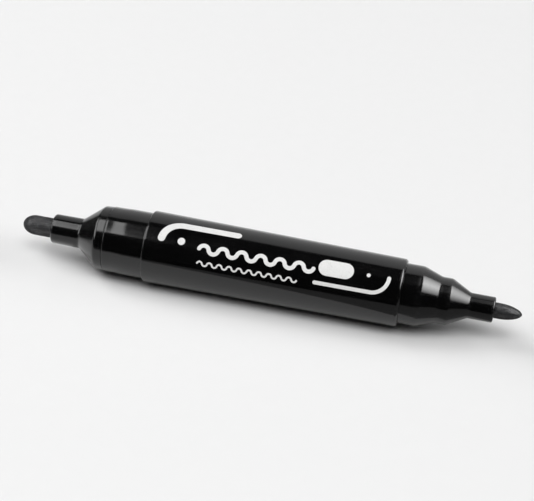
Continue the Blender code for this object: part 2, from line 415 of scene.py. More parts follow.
def open_group(
    tree: NodeTree, inputs: dict[str, str], outputs: dict[str, str]
) -> tuple[Graph, Node, Node]:
    """Give a group its sockets and end nodes.

    Args:
        tree: The empty group.
        inputs: Kind (Float or Color) of each input, by name.
        outputs: Kind of each output, by name.

    Returns:
        The group's graph, its input node and its output node.
    """
    for sockets, way in ((inputs, "INPUT"), (outputs, "OUTPUT")):
        for name, kind in sockets.items():
            tree.interface.new_socket(name, in_out=way, socket_type="NodeSocket" + kind)
    return Graph(tree), tree.nodes.new("NodeGroupInput"), tree.nodes.new("NodeGroupOutput")


def wire_moulded(tree: NodeTree) -> None:
    """Wire the surface of a polished moulding: handling haze, fine scuffs, orange peel and worn edges.

    Args:
        tree: The group to fill.
    """
    graph, given, result = open_group(
        tree,
        {"Colour": "Color", "Worn": "Color", "Wear": "Float", "Roughness": "Float", "Haze": "Float"},
        {"Colour": "Color", "Roughness": "Float", "Height": "Float"},
    )
    place = graph.place()
    edge = graph.add("Attribute", attribute_name=EDGE_MASK).outputs["Fac"]
    haze = HAZE.mask(graph, place)
    scuff = graph.math("MULTIPLY", SCUFF.mask(graph, place), haze)
    rubbed = graph.math("MULTIPLY", edge, RUB.mask(graph, place))
    wear = graph.math("MULTIPLY", rubbed, given.outputs["Wear"])
    faded = graph.math("MULTIPLY", scuff, SCUFF_FADE)
    faded = graph.math("ADD", faded, graph.math("MULTIPLY", haze, HAZE_FADE))
    share = graph.math("ADD", wear, faded)
    graph.link(graph.mix(share, given.outputs["Colour"], given.outputs["Worn"]), result.inputs["Colour"])
    film = graph.math("MULTIPLY", graph.math("ADD", haze, scuff), given.outputs["Haze"])
    rough = graph.math("ADD", given.outputs["Roughness"], film)
    rough = graph.math("ADD", rough, graph.math("MULTIPLY", wear, WEAR_ROUGHNESS))
    graph.link(rough, result.inputs["Roughness"])
    grain = graph.math("MULTIPLY", GRAIN.noise(graph, place), GRAIN_HEIGHT)
    height = graph.math("ADD", PEEL.noise(graph, place), grain)
    height = graph.math("ADD", height, graph.math("MULTIPLY", scuff, SCUFF_HEIGHT))
    graph.link(height, result.inputs["Height"])


def wire_fibre(tree: NodeTree) -> None:
    """Wire the surface of bonded fibres that run along the axis.

    Args:
        tree: The group to fill.
    """
    graph, given, result = open_group(
        tree,
        {"Colour": "Color", "Fibre": "Color", "Fuzz": "Float"},
        {"Colour": "Color", "Height": "Float"},
    )
    place = graph.place()
    clump = CLUMP.mask(graph, place)
    fibres = graph.math("ADD", STRAND.noise(graph, place), FLECK.noise(graph, place))
    lit = graph.ramp(graph.math("MULTIPLY", fibres, 0.5), *LIT_FIBRES)
    share = graph.math("MULTIPLY", graph.math("MULTIPLY", lit, clump), given.outputs["Fuzz"])
    graph.link(graph.mix(share, given.outputs["Colour"], given.outputs["Fibre"]), result.inputs["Colour"])
    tuft = graph.math("MULTIPLY", clump, TUFT_HEIGHT)
    graph.link(graph.math("ADD", fibres, tuft), result.inputs["Height"])


def new_material(name: str) -> tuple[Material, Graph, Node]:
    """Make a material with a Principled shader.

    Args:
        name: Name of the material.

    Returns:
        The material, its graph and its shader.
    """
    material = bpy.data.materials.new(name)
    material.use_nodes = True
    return material, Graph(material.node_tree), material.node_tree.nodes["Principled BSDF"]


def bump(graph: Graph, shader: Node, height: NodeSocket, strength: float, depth: float) -> None:
    """Give a shader relief.

    Args:
        graph: The material's graph.
        shader: Its Principled shader.
        height: The relief, from about 0 to 1.
        strength: Strength of the Bump node.
        depth: Depth of the relief, in millimetres.
    """
    node = graph.add("Bump", Strength=strength, Distance=depth * MM)
    graph.link(height, node.inputs["Height"])
    graph.link(node.outputs["Normal"], shader.inputs["Normal"])


@dataclass(frozen=True)
class MouldedPlastic:
    """A polished plastic moulding that has been handled.

    Attributes:
        name: Name of the material.
        colour: Colour of the plastic.
        worn: Colour where edges and scuffs catch.
        roughness: Roughness where it is clean.
        haze: Roughness that handling adds at most.
        wear: How much of its edges is worn, from 0 to 1.
        ior: Index of refraction.
        peel: Strength of its orange peel.
        relief: Depth of its orange peel.
    """

    name: str
    colour: Colour = (0.0011, 0.0011, 0.0012)
    worn: Colour = (0.035, 0.035, 0.036)
    roughness: float = 0.09
    haze: float = 0.05
    wear: float = 0.25
    ior: float = 1.52
    peel: float = 0.25
    relief: float = 0.02

    def material(self) -> Material:
        """Build the finish.

        Returns:
            Its material.
        """
        material, graph, shader = new_material(self.name)
        surface = graph.add(
            "Group", node_tree=SurfaceGroup.MOULDED.tree(),
            Colour=(*self.colour, 1.0), Worn=(*self.worn, 1.0), Wear=self.wear,
            Roughness=self.roughness, Haze=self.haze,
        )
        graph.link(surface.outputs["Colour"], shader.inputs["Base Color"])
        graph.link(surface.outputs["Roughness"], shader.inputs["Roughness"])
        shader.inputs["IOR"].default_value = self.ior
        bump(graph, shader, surface.outputs["Height"], self.peel, self.relief)
        return material


@dataclass(frozen=True)
class BondedFibre:
    """Pressed or bundled fibres, soaked with ink.

    Attributes:
        name: Name of the material.
        colour: Colour between the fibres.
        fibre: Colour of the fibres that catch the light.
        fuzz: Share of those fibres, from 0 to 1 and over.
        roughness: Roughness of the ink film on them, seen straight on.
        dullest: Roughness where their fuzz hides the film, at a slant.
        slant: Turn away from the viewer at which the fuzz starts to hide the film, and at which it does.
        wetness: Strength of its gloss, from 0 to 1.
        sheen: Weight of the soft edge light.
        sheen_roughness: Spread of that light.
        nap: Strength of the fibres' relief.
        relief: Depth of the fibres.
    """

    name: str
    colour: Colour = (0.008, 0.008, 0.009)
    fibre: Colour = (0.085, 0.085, 0.087)
    fuzz: float = 0.7
    roughness: float = 0.28
    dullest: float = 0.95
    slant: Pair = (0.08, 0.45)
    wetness: float = 0.6
    sheen: float = 0.02
    sheen_roughness: float = 0.6
    nap: float = 0.9
    relief: float = 0.09

    def material(self) -> Material:
        """Build the finish.

        Returns:
            Its material.
        """
        material, graph, shader = new_material(self.name)
        surface = graph.add(
            "Group", node_tree=SurfaceGroup.FIBRE.tree(),
            Colour=(*self.colour, 1.0), Fibre=(*self.fibre, 1.0), Fuzz=self.fuzz,
        )
        graph.link(surface.outputs["Colour"], shader.inputs["Base Color"])
        facing = graph.add("LayerWeight", Blend=0.5).outputs["Facing"]
        dull = graph.math("MULTIPLY", graph.ramp(facing, *self.slant), self.dullest - self.roughness)
        graph.link(graph.math("ADD", dull, self.roughness), shader.inputs["Roughness"])
        shader.inputs["Specular IOR Level"].default_value = self.wetness
        shader.inputs["Sheen Weight"].default_value = self.sheen
        shader.inputs["Sheen Roughness"].default_value = self.sheen_roughness
        bump(graph, shader, surface.outputs["Height"], self.nap, self.relief)
        return material


@dataclass(frozen=True)
class PrintInk:
    """Screen-printed white ink with a slightly uneven coat.

    Attributes:
        name: Name of the material.
        colour: Colour of a full coat.
        thin: Colour where the coat is thin.
        roughness: Mean roughness.
        unevenness: How far the roughness varies.
        tooth: Strength of the coat's relief.
        relief: Depth of the coat's relief.
    """

    name: str
    colour: Colour = (0.74, 0.74, 0.73)
    thin: Colour = (0.56, 0.56, 0.56)
    roughness: float = 0.42
    unevenness: float = 0.2
    tooth: float = 0.3
    relief: float = 0.01

    def material(self) -> Material:
        """Build the finish.

        Returns:
            Its material.
        """
        material, graph, shader = new_material(self.name)
        place = graph.place()
        speck = INK_SPECK.noise(graph, place)
        specks = graph.ramp(speck, INK_SPECK.low, INK_SPECK.high)
        share = graph.math("MULTIPLY", specks, INK_CLOUD.mask(graph, place))
        graph.link(graph.mix(share, self.colour, self.thin), shader.inputs["Base Color"])
        varied = graph.math("MULTIPLY", speck, self.unevenness)
        rough = graph.math("ADD", varied, self.roughness - self.unevenness / 2)
        graph.link(rough, shader.inputs["Roughness"])
        bump(graph, shader, speck, self.tooth, self.relief)
        return material


@dataclass(frozen=True)
class StudioFloor:
    """Matt pale paper.

    Attributes:
        name: Name of the material.
        colour: Colour of the paper.
        fibre: Colour of its faint mottling.
        roughness: Roughness of its face.
        gloss: Strength of its gloss, from 0 to 1.
    """

    name: str
    colour: Colour = (0.80, 0.80, 0.80)
    fibre: Colour = (0.785, 0.785, 0.785)
    roughness: float = 0.9
    gloss: float = 0.1

    def material(self) -> Material:
        """Build the finish.

        Returns:
            Its material.
        """
        material, graph, shader = new_material(self.name)
        mottle = PAPER_MOTTLE.noise(graph, graph.place())
        graph.link(graph.mix(mottle, self.colour, self.fibre), shader.inputs["Base Color"])
        shader.inputs["Roughness"].default_value = self.roughness
        shader.inputs["Specular IOR Level"].default_value = self.gloss
        return material


def dress(piece: Object, body: Body, material: Material, node: str | None = None) -> None:
    """Give a piece its finish and its place in the frame.

    Args:
        piece: The finished piece.
        body: Body that it rides on.
        material: Its material.
        node: CAD node that it stands for, if there is one.
    """
    piece.data.materials.clear()
    piece.data.materials.append(material)
    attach(piece, body.value)
    if node is not None:
        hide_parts(node)
    LOG.info("%s rides on %s with %d faces", piece.name, body.value, len(piece.data.polygons))


@dataclass(frozen=True)
class Barrel:
    """The tapered grip and the neck that carries the bold cap."""

    length: float = 60.3
    bold_radius: float = 8.5
    fine_radius: float = 7.9
    fine_edge_length: float = 0.5
    fine_edge_depth: float = 0.4
    neck_length: float = 9.8
    neck_radius: float = 7.85
    land_length: float = 5.1
    ramp_length: float = 2.7
    lead_radius: float = 7.72
    bore: float = 6.55
    rim_rounding: float = 0.08
    fine_rounding: float = 0.20
    bold_rounding: float = 0.28
    step_rounding: float = 0.10
    ramp_rounding: float = 0.50
    front_rounding: float = 0.26

    def radius_at(self, station: float) -> float:
        """Return the grip's radius at a station."""
        return self.bold_radius - (self.bold_radius - self.fine_radius) * station / self.length

    def build(self, lathe: Lathe, material: Material) -> None:
        """Turn the barrel and dress it.

        Args:
            lathe: The lathe on the marker's axis.
            material: Its finish.
        """
        outline = [
            Corner(self.length, self.fine_radius - self.fine_edge_depth, self.rim_rounding),
            Corner(self.length - self.fine_edge_length, self.fine_radius, self.fine_rounding),
            Corner(0.0, self.bold_radius, self.bold_rounding),
            Corner(0.0, self.neck_radius, self.step_rounding),
            Corner(-self.land_length, self.neck_radius, self.ramp_rounding),
            Corner(-self.land_length - self.ramp_length, self.lead_radius, self.ramp_rounding),
            Corner(-self.neck_length, self.lead_radius, self.front_rounding),
            Corner(-self.neck_length, self.bore),
            Corner(self.length, self.bore),
        ]
        dress(lathe.turn("grip_and_neck", outline), Body.MARKER, material, "barrel")


@dataclass(frozen=True)
class BoldHolder:
    """The plug, flange, cone and nozzle that hold the bold nib."""

    seat: float = -9.86
    plug_end: float = -2.8
    plug_radius: float = 6.35
    plug_bore: float = 5.25
    flange_radius: float = 7.59
    cone_base: float = -11.8
    cone_base_radius: float = 7.50
    cone_top: float = -16.65
    nozzle_root: float = 3.56
    nozzle_radius: float = 3.50
    mouth: float = -23.7
    nib_bore: float = 2.42
    plug_rounding: float = 0.20
    flange_rounding: float = 0.06
    base_rounding: float = 0.32
    top_rounding: float = 0.30
    mouth_rounding: float = 0.50
    bore_rounding: float = 0.12

    def build(self, lathe: Lathe, material: Material) -> None:
        """Turn the holder and dress it.

        Args:
            lathe: The lathe on the marker's axis.
            material: Its finish.
        """
        outline = [
            Corner(self.plug_end, self.plug_bore),
            Corner(self.plug_end, self.plug_radius, self.plug_rounding),
            Corner(self.seat, self.plug_radius),
            Corner(self.seat, self.flange_radius, self.flange_rounding),
            Corner(self.cone_base, self.cone_base_radius, self.base_rounding),
            Corner(self.cone_top, self.nozzle_root, self.top_rounding),
            Corner(self.mouth, self.nozzle_radius, self.mouth_rounding),
            Corner(self.mouth, self.nib_bore, self.bore_rounding),
            Corner(self.cone_top, self.nib_bore),
            Corner(self.cone_base, self.plug_bore),
        ]
        dress(lathe.turn("bold_holder", outline), Body.MARKER, material, "bold_nib_holder")


@dataclass(frozen=True)
class FineHolder:
    """The plug, neck, two cones, collar and nozzle that hold the fine nib."""

    seat: float = 60.36
    plug_end: float = 52.3
    plug_radius: float = 6.35
    plug_bore: float = 5.25
    neck_radius: float = 7.0
    upper_cone: float = 64.3
    collar_start: float = 68.7
    collar_end: float = 71.1
    collar_radius: float = 5.39
    collar_bore: float = 4.29
    cone_top: float = 75.65
    nozzle_radius: float = 2.97
    mouth: float = 81.42
    nib_bore: float = 1.89
    plug_rounding: float = 0.20
    neck_rounding: float = 0.45
    cone_rounding: float = 0.30
    mouth_rounding: float = 0.42
    bore_rounding: float = 0.10

    def build(self, lathe: Lathe, material: Material) -> None:
        """Turn the holder and dress it.

        Args:
            lathe: The lathe on the marker's axis.
            material: Its finish.
        """
        outline = [
            Corner(self.plug_end, self.plug_bore),
            Corner(self.plug_end, self.plug_radius, self.plug_rounding),
            Corner(self.seat, self.plug_radius),
            Corner(self.seat, self.neck_radius),
            Corner(self.upper_cone, self.neck_radius, self.neck_rounding),
            Corner(self.collar_start, self.collar_radius, self.cone_rounding),
            Corner(self.collar_end, self.collar_radius, self.cone_rounding),
            Corner(self.cone_top, self.nozzle_radius, self.cone_rounding),
            Corner(self.mouth, self.nozzle_radius, self.mouth_rounding),
            Corner(self.mouth, self.nib_bore, self.bore_rounding),
            Corner(self.cone_top, self.nib_bore),
            Corner(self.collar_end, self.collar_bore),
            Corner(self.collar_start, self.collar_bore),
            Corner(self.upper_cone, self.plug_bore),
        ]
        dress(lathe.turn("fine_holder", outline), Body.MARKER, material, "fine_nib_holder")


@dataclass(frozen=True)
class Nib:
    """A rod of pressed felt with a rounded point and a slightly rough skin.

    Attributes:
        node: CAD node that it stands for.
        way: End that it points to.
        radius: Radius of the rod.
        tip: Station of the point.
        tail: Station of the end in the ink core.
        point: Length of the rounded point.
        sharpness: 0.5 for a half ellipse, more for a sharper point.
        rings: Rings along the point.
        tail_rounding: Rounding of the tail's edge.
        long: Length past which the rod's edges are split.
        cuts: Rings that the rod is split into.
        tuft: Height of the roughness.
        grain: Lengths of its fine grain along X, Y and Z.
        grain_share: Part of the height that the grain has.
        lump: Length of its broader lumps.
        lump_share: Part of the height that the lumps have.
        still: Distance from the axis within which nothing is pushed.
        calm: Distance from the axis within which the roughness fades.
    """

    node: str
    way: Way
    radius: float
    tip: float
    tail: float
    point: float
    sharpness: float
    rings: int = 26
    tail_rounding: float = 0.30
    long: float = 2.0
    cuts: int = 70
    tuft: float = 0.035
    grain: Triple = (0.55, 0.30, 0.30)
    grain_share: float = 0.6
    lump: float = 1.4
    lump_share: float = 0.5
    still: float = 0.05
    calm: float = 0.6

    def build(self, lathe: Lathe, material: Material) -> None:
        """Turn the nib, roughen it and dress it.

        Args:
            lathe: The lathe on the marker's axis.
            material: Its finish.
        """
        outline = [Corner(self.tip, 0.0)]
        for ring in range(1, self.rings + 1):
            turn = ring / self.rings * math.pi / 2
            back = self.point * (1.0 - math.cos(turn))
            radius = self.radius * math.sin(turn) ** (2 * self.sharpness)
            outline.append(Corner(self.tip - self.way.value * back, radius))
        outline.append(Corner(self.tail, self.radius, self.tail_rounding))
        outline.append(Corner(self.tail, 0.0))
        piece = lathe.turn(self.node + "_felt", outline)
        self._roughen(piece, lathe)
        dress(piece, Body.MARKER, material, self.node)

    def _roughen(self, piece: Object, lathe: Lathe) -> None:
        """Split the rod into short rings and push its skin in and out along a fixed noise.

        Args:
            piece: The turned nib.
            lathe: The lathe that it was turned on.
        """
        mesh = bmesh.new()
        mesh.from_mesh(piece.data)
        long = [e for e in mesh.edges if abs(e.verts[0].co.x - e.verts[1].co.x) > self.long * MM]
        bmesh.ops.subdivide_edges(mesh, edges=long, cuts=self.cuts, use_grid_fill=True)
        middle = Vector((0.0, 0.0, lathe.height * MM))
        for vert in mesh.verts:
            out = vert.co - middle
            out.x = 0.0
            if out.length < self.still * MM:
                continue
            grain = Vector([place / (length * MM) for place, length in zip(vert.co, self.grain)])
            lump = vert.co / (self.lump * MM)
            rough = self.grain_share * noise.noise(grain) + self.lump_share * noise.noise(lump)
            fade = min(1.0, out.length / (self.calm * MM))
            vert.co += out.normalized() * rough * fade * self.tuft * MM
        mesh.to_mesh(piece.data)
        mesh.free()
        piece.data.shade_smooth()


@dataclass(frozen=True)
class InkStore:
    """The fibre core inside the barrel and the film that wraps it."""

    bold_end: float = -2.6
    fine_end: float = 52.1
    core_radius: float = 5.9
    film_radius: float = 6.35
    film_bore: float = 6.10
    socket_depth: float = 6.2
    bold_socket: float = 2.55
    fine_socket: float = 2.02
    socket_rounding: float = 0.15
    core_rounding: float = 0.25
    film_rounding: float = 0.05

    def build(self, lathe: Lathe, fibre: Material, film: Material) -> None:
        """Turn the core and its film and dress them.

        Args:
            lathe: The lathe on the marker's axis.
            fibre: Finish of the core.
            film: Finish of the film.
        """
        core = [
            Corner(self.fine_end - self.socket_depth, 0.0),
            Corner(self.fine_end - self.socket_depth, self.fine_socket),
            Corner(self.fine_end, self.fine_socket, self.socket_rounding),
            Corner(self.fine_end, self.core_radius, self.core_rounding),
            Corner(self.bold_end, self.core_radius, self.core_rounding),
            Corner(self.bold_end, self.bold_socket, self.socket_rounding),
            Corner(self.bold_end + self.socket_depth, self.bold_socket),
            Corner(self.bold_end + self.socket_depth, 0.0),
        ]
        dress(lathe.turn("ink_core", core), Body.MARKER, fibre, "ink_reservoir")
        wrap = [
            Corner(self.fine_end, self.film_bore, self.film_rounding),
            Corner(self.fine_end, self.film_radius, self.film_rounding),
            Corner(self.bold_end, self.film_radius, self.film_rounding),
            Corner(self.bold_end, self.film_bore, self.film_rounding),
        ]
        dress(lathe.turn("core_film", wrap), Body.MARKER, film, "reservoir_film")


@dataclass(frozen=True)
class Cap:
    """A pull-off cap with a soft liner that closes round the nozzle.

    Attributes:
        body: Body of the cap, which has the name of its CAD node too.
        way: End that its closed end points to.
        mouth: Station of its mouth where it lies.
        mouth_radius: Outer radius at the mouth.
        lip_radius: Inner radius of the lip.
        lip_depth: Depth of the lip.
        narrow_depth: Depth at which the bore behind the lip starts.
        bore: Radius of that bore.
        depth: Depth of the bore.
        liner_bore: Inner radius of the liner.
        liner_lip: Depth of the liner's lip.
        draft: How much smaller the closed end's radius is than the mouth's.
        end_wall: Thickness of the closed end.
        gate_radius: Radius of the moulding mark in its middle.
        gate_depth: Depth of that mark.
        liner_wall: Thickness of the liner's tube.
        liner_base: Thickness of the liner's base.
        fit: Room between the liner and the cap.
    """

    body: Body
    way: Way
    mouth: float
    mouth_radius: float
    lip_radius: float
    lip_depth: float
    narrow_depth: float
    bore: float
    depth: float
    liner_bore: float
    liner_lip: float
    draft: float = 0.4
    end_wall: float = 1.3
    gate_radius: float = 1.3
    gate_depth: float = 0.18
    liner_wall: float = 0.9
    liner_base: float = 1.0
    fit: float = 0.2
    mouth_rounding: float = 0.14
    lip_rounding: float = 0.15
    narrow_rounding: float = 0.20
    bottom_rounding: float = 0.30
    end_rounding: float = 0.95
    gate_rounding: float = 0.10
    base_rounding: float = 0.20
    liner_rounding: float = 0.25

    def build(self, lathe: Lathe, plastic: Material, seal: Material) -> None:
        """Turn the cap and its liner and dress them.

        Args:
            lathe: The lathe on the marker's axis.
            plastic: Finish of the cap.
            seal: Finish of the liner.
        """
        end = self.depth + self.end_wall
        shell = [
            (self.depth, 0.0, 0.0),
            (self.depth, self.bore, self.bottom_rounding),
            (self.narrow_depth, self.bore, self.narrow_rounding),
            (self.lip_depth, self.lip_radius, self.narrow_rounding),
            (0.0, self.lip_radius, self.lip_rounding),
            (0.0, self.mouth_radius, self.mouth_rounding),
            (end, self.mouth_radius - self.draft, self.end_rounding),
            (end, self.gate_radius, self.gate_rounding),
            (end - self.gate_depth, self.gate_radius - self.gate_depth, self.gate_rounding),
            (end - self.gate_depth, 0.0, 0.0),
        ]
        self._dress_turned(lathe, "shell", shell, plastic, self.body.value)
        back = self.depth - self.fit
        floor = back - self.liner_base
        outer = self.liner_bore + self.liner_wall
        liner = [
            (back, 0.0, 0.0),
            (back, self.bore - self.fit, self.base_rounding),
            (floor, self.bore - self.fit, self.base_rounding),
            (floor, outer, self.liner_rounding),
            (self.liner_lip, outer, self.liner_rounding),
            (self.liner_lip, self.liner_bore, self.liner_rounding),
            (floor, self.liner_bore, self.base_rounding),
            (floor, 0.0, 0.0),
        ]
        self._dress_turned(lathe, "liner", liner, seal, self.body.value + "_inner_seal")

    def _dress_turned(
        self, lathe: Lathe, part: str, outline: Sequence[Triple], material: Material, node: str
    ) -> None:
        """Turn one part of the cap from depths and dress it.

        Args:
            lathe: The lathe on the marker's axis.
            part: Last word of the piece's name.
            outline: Depth, radius and rounding of each corner.
            material: Its finish.
            node: CAD node that it stands for.
        """
        corners = [
            Corner(self.mouth + self.way.value * depth, radius, rounding)
            for depth, radius, rounding in outline
        ]
        dress(lathe.turn(f"{self.body.value}_{part}", corners), self.body, material, node)


class Stroke:
    """A stroke of even width with round ends, drawn on the unrolled grip with X along it and Y round it.

    Attributes:
        end_steps: Faces round an end.
        slack: Distance from the middle line that still counts as on it.
        across: Cosine of the angle up to which an edge counts as lying across the stroke.
    """

    end_steps: int = 14
    slack: float = 0.001
    across: float = 0.9

    def __init__(self, start: Pair, heading: float, width: float, lanes: int = 6) -> None:
        """Put the pen down.

        Args:
            start: Station and arc length of the start, both in millimetres.
            heading: First direction in degrees, 0 towards the fine end and 90 upwards.
            width: Width of the stroke.
            lanes: Faces across it, an even number.
        """
        self.mesh = bmesh.new()
        self.place = Vector((*start, 0.0))
        self.heading = math.radians(heading)
        side = self._side() * width / 2
        ends = [self.mesh.verts.new(self.place + side), self.mesh.verts.new(self.place - side)]
        self.mesh.edges.new(ends)
        bmesh.ops.subdivide_edges(self.mesh, edges=self.mesh.edges[:], cuts=lanes - 1)
        self.front = self.mesh.edges[:]
        self._round_end(math.pi)

    def run(self, length: float) -> "Stroke":
        """Draw a straight run.

        Args:
            length: Its length.

        Returns:
            The stroke.
        """
        ahead = Vector((math.cos(self.heading), math.sin(self.heading), 0.0)) * length
        made = bmesh.ops.extrude_edge_only(self.mesh, edges=self.front)["geom"]
        bmesh.ops.translate(self.mesh, verts=[g for g in made if isinstance(g, BMVert)], vec=ahead)
        self.front = [g for g in made if isinstance(g, BMEdge) and self._lies_across(g)]
        self.place += ahead
        return self

    def bend(self, radius: float, turn: float, steps: int) -> "Stroke":
        """Draw an arc.

        Args:
            radius: Radius of its middle line.
            turn: Angle in degrees, positive to the left.
            steps: Faces along it.

        Returns:
            The stroke.
        """
        angle = math.radians(turn)
        centre = self.place + self._side() * math.copysign(radius, angle)
        self.front = self._spin(self.front, centre, angle, steps)
        self.place = centre + Matrix.Rotation(angle, 3, "Z") @ (self.place - centre)
        self.heading += angle
        return self

    def finish(self) -> BMesh:
        """Round off the end and return the flat stroke."""
        self._round_end(-math.pi)
        return self.mesh

    def _side(self) -> Vector:
        """Return the direction to the left of the pen."""
        return Vector((-math.sin(self.heading), math.cos(self.heading), 0.0))

    def _lies_across(self, edge: BMEdge) -> bool:
        """Say whether an edge lies across the stroke."""
        return abs((edge.verts[0].co - edge.verts[1].co).normalized().dot(self._side())) > self.across

    def _spin(self, edges: Sequence[BMEdge], centre: Vector, angle: float, steps: int) -> list[BMEdge]:
        """Sweep edges about a point of the plane.

        Args:
            edges: The edges.
            centre: The point.
            angle: Angle of the sweep, in radians.
            steps: Faces along it.

        Returns:
            The edges at its end.
        """
        verts = list({vert for edge in edges for vert in edge.verts})
        made = bmesh.ops.spin(
            self.mesh, geom=verts + list(edges), cent=centre, axis=(0, 0, 1), dvec=(0, 0, 0),
            angle=angle, steps=steps, use_merge=False, use_normal_flip=False, use_duplicate=False,
        )
        return [g for g in made["geom_last"] if isinstance(g, BMEdge)]

    def _round_end(self, angle: float) -> None:
        """Sweep the left half of the front about its middle.

        Args:
            angle: Half a turn in radians, positive at the start and negative at the end.
        """
        half = [
            edge for edge in self.front
            if all((vert.co - self.place).dot(self._side()) > -self.slack for vert in edge.verts)
        ]
        self._spin(half, self.place, angle, self.end_steps)


@dataclass(frozen=True)
class Wave:
    """A wavy line of half waves.

    Attributes:
        start: Station and arc length of its start.
        width: Width of the line.
        radius: Radius of its bends.
        count: Number of half waves.
        slope: Angle at which it crosses its middle line, in degrees.
        steps: Faces along a half wave.
    """

    start: Pair
    width: float
    radius: float
    count: int
    slope: float = 75.0
    steps: int = 14

    def draw(self) -> BMesh:
        """Draw the line on the unrolled grip.

        Returns:
            The flat line.
        """
        stroke = Stroke(self.start, self.slope, self.width)
        for half in range(self.count):
            stroke.bend(self.radius, -2 * self.slope if half % 2 == 0 else 2 * self.slope, self.steps)
        return stroke.finish()


@dataclass(frozen=True)
class Print:
    """White marks on the grip: two hooked stripes, dots, line samples and a blank panel.

    Starts and middles are stations and arc lengths. Arc lengths run round the grip from the side that faces
    the viewer, upwards.

    Attributes:
        lift: Height of the ink above the plastic.
        depth: Thickness of the ink's body, which is sunk into the plastic.
        merge: Distance within which points of a flat mark are one.
    """

    lift: float = 0.015
    depth: float = 0.05
    merge: float = 0.002
    bold_line: float = 1.75
    bold_hook: Pair = (4.09, 8.12)
    bold_hook_radius: float = 4.53
    bold_hook_turn: float = 85.0
    bold_hook_run: float = 12.57
    bold_dot: Pair = (8.8, 8.0)
    bold_wave: Wave = Wave((13.2, 7.1), width=0.95, radius=1.15, count=12)
    fine_line: float = 0.89
    fine_hook: Pair = (40.62, 4.09)
    fine_hook_run: float = 12.67
    fine_hook_radius: float = 3.77
    fine_hook_turn: float = 90.0
    fine_hook_end: float = 0.11
    fine_dot: Pair = (52.4, 7.85)
    fine_wave: Wave = Wave((13.3, 3.7), width=0.42, radius=0.6, count=20)
    hook_steps: int = 20
    dot_sides: int = 48
    dot_splits: int = 2
    panel: Pair = (42.85, 7.95)
    panel_width: float = 3.9
    panel_run: float = 4.2
    panel_lanes: int = 16

    def build(self, lathe: Lathe, barrel: Barrel, ink: Material) -> None:
        """Draw every mark on the unrolled grip, wrap it and dress it.

        Args:
            lathe: The lathe on the marker's axis.
            barrel: The barrel that carries the print.
            ink: Finish of the print.
        """
        marks = {
            "bold_stripe": self._bold_stripe(),
            "fine_stripe": self._fine_stripe(),
            "bold_wave": self.bold_wave.draw(),
            "fine_wave": self.fine_wave.draw(),
            "bold_dot": self._dot(self.bold_dot, self.bold_line / 2),
            "fine_dot": self._dot(self.fine_dot, self.fine_line / 2),
            "panel": Stroke(self.panel, 0.0, self.panel_width, self.panel_lanes).run(self.panel_run).finish(),
        }
        for name, mesh in marks.items():
            self._wrap(mesh, barrel)
            dress(lathe.piece("print_" + name, mesh), Body.MARKER, ink)

    def _bold_stripe(self) -> BMesh:
        """Draw the broad hook round the bold end's dot.

        Returns:
            The flat stripe.
        """
        stroke = Stroke(self.bold_hook, self.bold_hook_turn, self.bold_line)
        stroke.bend(self.bold_hook_radius, -self.bold_hook_turn, self.hook_steps)
        return stroke.run(self.bold_hook_run).finish()

    def _fine_stripe(self) -> BMesh:
        """Draw the narrow hook round the fine end's dot.

        Returns:
            The flat stripe.
        """
        stroke = Stroke(self.fine_hook, 0.0, self.fine_line).run(self.fine_hook_run)
        stroke.bend(self.fine_hook_radius, self.fine_hook_turn, self.hook_steps)
        return stroke.run(self.fine_hook_end).finish()

    def _dot(self, middle: Pair, radius: float) -> BMesh:
        """Draw a round dot.

        Args:
            middle: Its station and arc length.
            radius: Its radius.

        Returns:
            The flat dot.
        """
        mesh = bmesh.new()
        bmesh.ops.create_circle(mesh, cap_ends=True, cap_tris=True, segments=self.dot_sides, radius=radius)
        for _ in range(self.dot_splits):
            spokes = [edge for edge in mesh.edges if not edge.is_boundary]
            bmesh.ops.subdivide_edges(mesh, edges=spokes, cuts=1, use_grid_fill=False)
        bmesh.ops.translate(mesh, verts=mesh.verts[:], vec=(*middle, 0.0))
        return mesh

    def _wrap(self, mesh: BMesh, barrel: Barrel) -> None:
        """Give a flat mark its thickness and wrap it round the grip.

        Args:
            mesh: The flat mark, in millimetres; it ends up in metres about the axis.
            barrel: The barrel that it is wrapped on.
        """
        bmesh.ops.remove_doubles(mesh, verts=mesh.verts[:], dist=self.merge)
        made = bmesh.ops.extrude_face_region(mesh, geom=mesh.faces[:])["geom"]
        sunk = [g for g in made if isinstance(g, BMVert)]
        bmesh.ops.translate(mesh, verts=sunk, vec=(0.0, 0.0, -self.depth))
        for vert in mesh.verts:
            station, arc, rise = vert.co
            radius = barrel.radius_at(station)
            angle = arc / radius
            out = radius + self.lift + rise
            vert.co = Vector((station, -out * math.cos(angle), out * math.sin(angle))) * MM


@dataclass(frozen=True)
class Panel:
    """A rectangle of the studio.

    Attributes:
        name: Name of the panel.
        centre: Place of its middle, in metres.
        facing: Direction that it faces.
        level: Direction of its first side.
        size: Lengths of its sides, in metres.
        glow: Brightness of its face, where 1 is white.
    """

    name: str
    centre: Triple
    facing: Triple
    level: Triple
    size: Pair
    glow: float

    def put(self, data: ID) -> Object:
        """Link data as an object whose -Z is the way that the panel faces.

        Args:
            data: A lamp or a mesh.

        Returns:
            The object, which the camera doesn't see.
        """
        back = -Vector(self.facing).normalized()
        up = back.cross(Vector(self.level)).normalized()
        turn = Matrix((up.cross(back), up, back)).transposed().to_4x4()
        panel = bpy.data.objects.new(self.name, data)
        panel.matrix_world = Matrix.Translation(self.centre) @ turn
        panel.visible_camera = False
        bpy.context.scene.collection.objects.link(panel)
        LOG.info("panel %s", self.name)
        return panel


